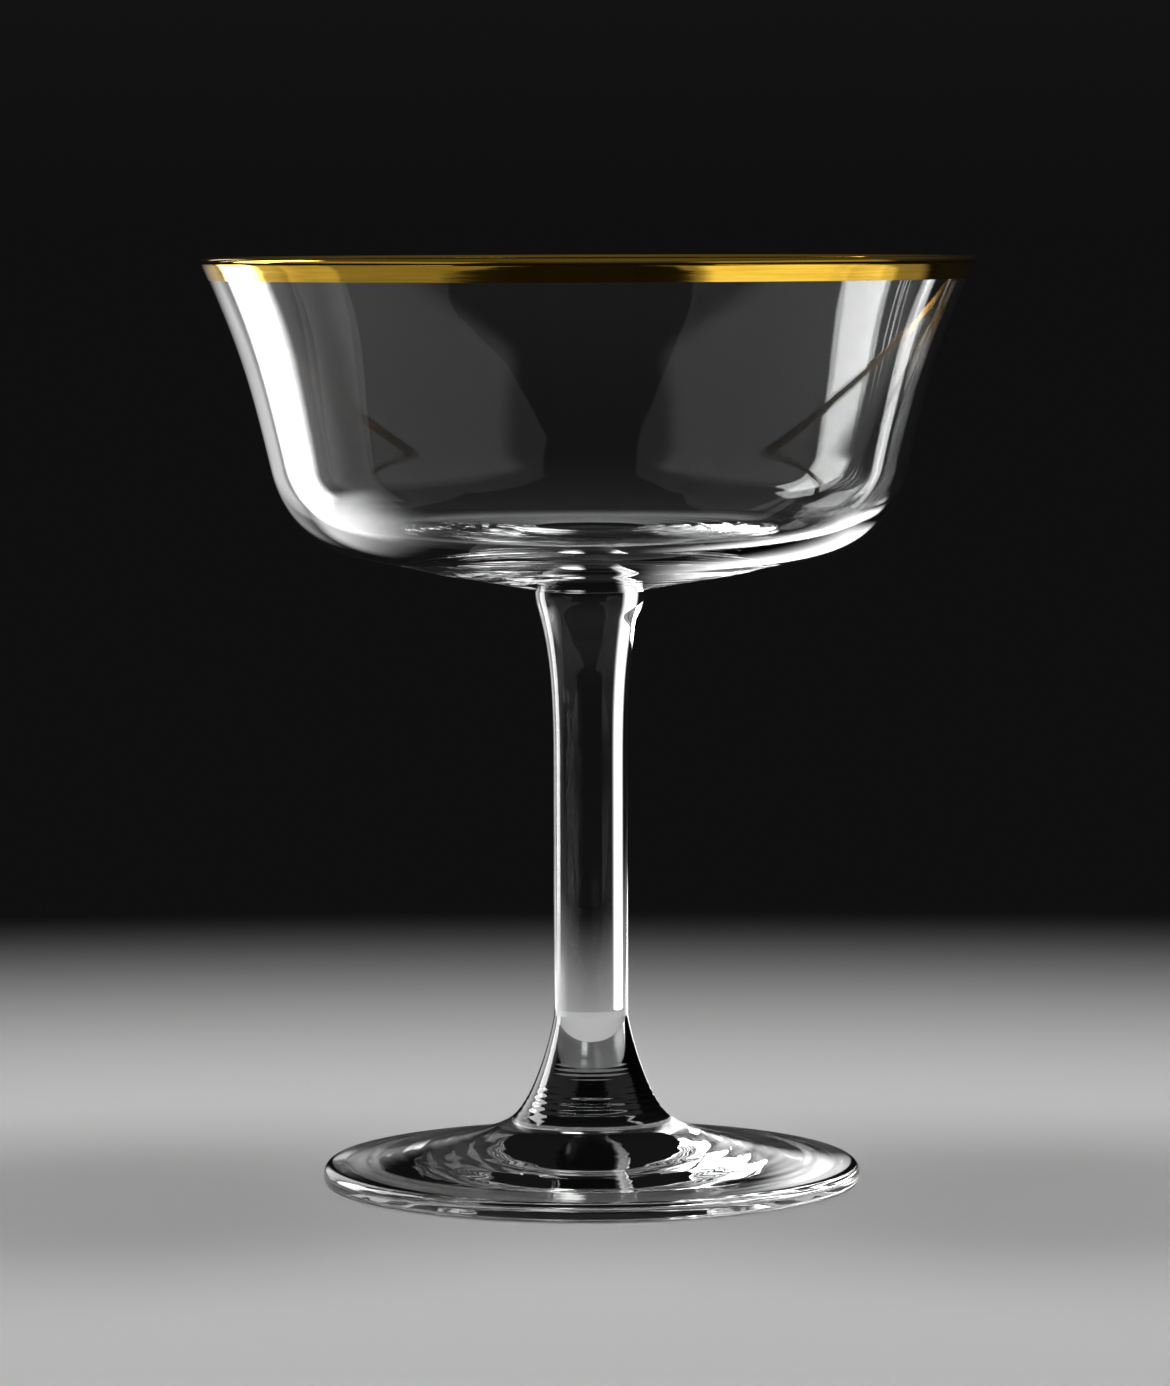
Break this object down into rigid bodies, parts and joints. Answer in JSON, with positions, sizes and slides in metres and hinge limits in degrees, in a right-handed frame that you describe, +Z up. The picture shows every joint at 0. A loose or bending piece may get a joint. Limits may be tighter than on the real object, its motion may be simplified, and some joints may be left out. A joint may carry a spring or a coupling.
{
  "type": "cocktail glass",
  "caption": "Stemmed clear cocktail glass: a flaring bowl with a gilded lip on a solid stem and a round foot, for serving short mixed drinks.",
  "frame": {"origin": "centre of the foot's contact ring, on the table surface", "axes": "+Z up along the glass's axis of revolution; the glass is round, so X and Y are any two level directions at right angles"},
  "size_m": [0.105, 0.105, 0.126],
  "materials": {
    "foot_glass": "fire-polished clear glass with a soft cast swirl",
    "stem_glass": "fire-polished clear glass with faint tool rings",
    "bowl_glass": "fire-polished clear glass",
    "gilding": "burnished gold film fired on the glass"
  },
  "bodies": {
    "root": {"foot": "foot_glass", "stem": "stem_glass", "bowl": "bowl_glass", "gilt_rim": "gilding"}
  },
  "joints": []
}
